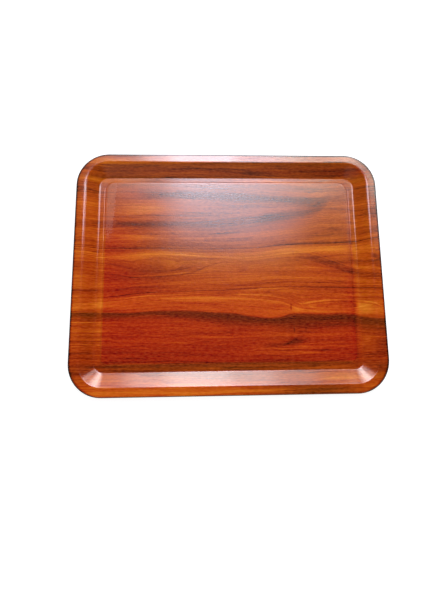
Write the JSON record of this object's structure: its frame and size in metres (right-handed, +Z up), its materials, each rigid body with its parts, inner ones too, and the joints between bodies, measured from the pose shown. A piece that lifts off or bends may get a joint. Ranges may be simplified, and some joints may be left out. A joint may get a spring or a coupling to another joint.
{
  "type": "serving tray",
  "caption": "Rectangular moulded veneer serving tray with a flat lip, sloping walls, a shallow well and a textured non-slip floor panel, for carrying dishes.",
  "frame": {"origin": "middle of the floor's underside, the face the tray stands on", "axes": "+X along the tray's length, +Y across it, +Z up out of the well"},
  "size_m": [0.46, 0.36, 0.0164],
  "materials": {
    "face_wood": "glossy clear lacquer over red-brown figured veneer",
    "back_wood": "satin lacquer over plain brown veneer",
    "crossband_wood": "raw, hidden",
    "core_wood": "raw, hidden",
    "edge_lacquer": "dark brown sealing lacquer",
    "panel_coat": "fine woven texture under a satin non-slip coat, wood figure showing through"
  },
  "bodies": {
    "root": {"face_veneer": "face_wood", "upper_crossband": "crossband_wood", "upper_core_ply": "core_wood", "centre_ply": "crossband_wood", "lower_core_ply": "core_wood", "lower_crossband": "crossband_wood", "back_veneer": "back_wood", "edge_seal": "edge_lacquer", "non_slip_panel": "panel_coat"}
  },
  "joints": []
}
